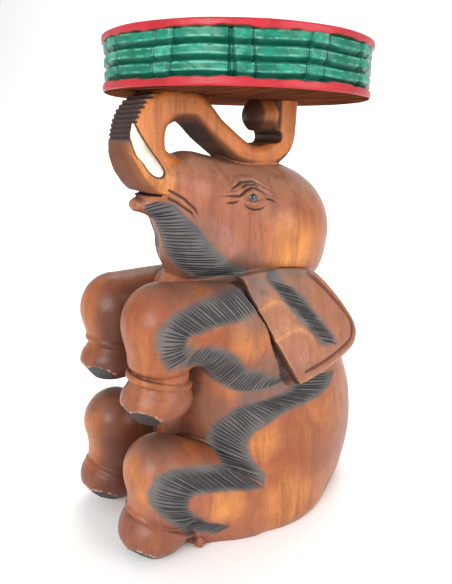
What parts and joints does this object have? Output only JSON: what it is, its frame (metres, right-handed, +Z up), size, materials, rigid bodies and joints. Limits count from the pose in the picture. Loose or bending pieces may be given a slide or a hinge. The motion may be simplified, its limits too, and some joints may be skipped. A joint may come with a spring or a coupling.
{
  "type": "carved elephant pedestal table",
  "caption": "Small round table on a carved seated elephant whose curled trunk holds up the painted, carved-rim top.",
  "frame": {"origin": "on the floor, under the centre of the round tabletop", "axes": "+Z up; the elephant faces -Y; its left side is +X"},
  "size_m": [0.28, 0.3545, 0.526],
  "materials": {
    "carved_wood": "stained and satin varnished, with charred bands of fine grooves",
    "head_wood": "stained and satin varnished, with a charred band of fine grooves",
    "trunk_wood": "lighter wood, satin varnished",
    "ear_wood": "stained and satin varnished",
    "painted_top": "green and red gloss paint on the carved rim, brown varnish elsewhere",
    "white_tusk": "pale wood, satin",
    "eye_glass": "dark glass bead, polished",
    "dowel_wood": "plain hardwood dowel"
  },
  "bodies": {
    "root": {"torso_block": "carved_wood", "left_foreleg_block": "carved_wood", "right_foreleg_block": "carved_wood", "left_hind_leg_block": "carved_wood", "right_hind_leg_block": "carved_wood", "head_block": "head_wood", "trunk_block": "trunk_wood", "tabletop": "painted_top", "left_ear": "ear_wood", "right_ear": "ear_wood", "left_tusk": "white_tusk", "right_tusk": "white_tusk", "left_eye": "eye_glass", "right_eye": "eye_glass", "neck_dowels": "dowel_wood", "trunk_dowels": "dowel_wood", "tabletop_dowels": "dowel_wood", "left_foreleg_dowels": "dowel_wood", "right_foreleg_dowels": "dowel_wood", "left_hind_leg_dowels": "dowel_wood", "right_hind_leg_dowels": "dowel_wood", "left_ear_pegs": "dowel_wood", "right_ear_pegs": "dowel_wood"}
  },
  "joints": []
}
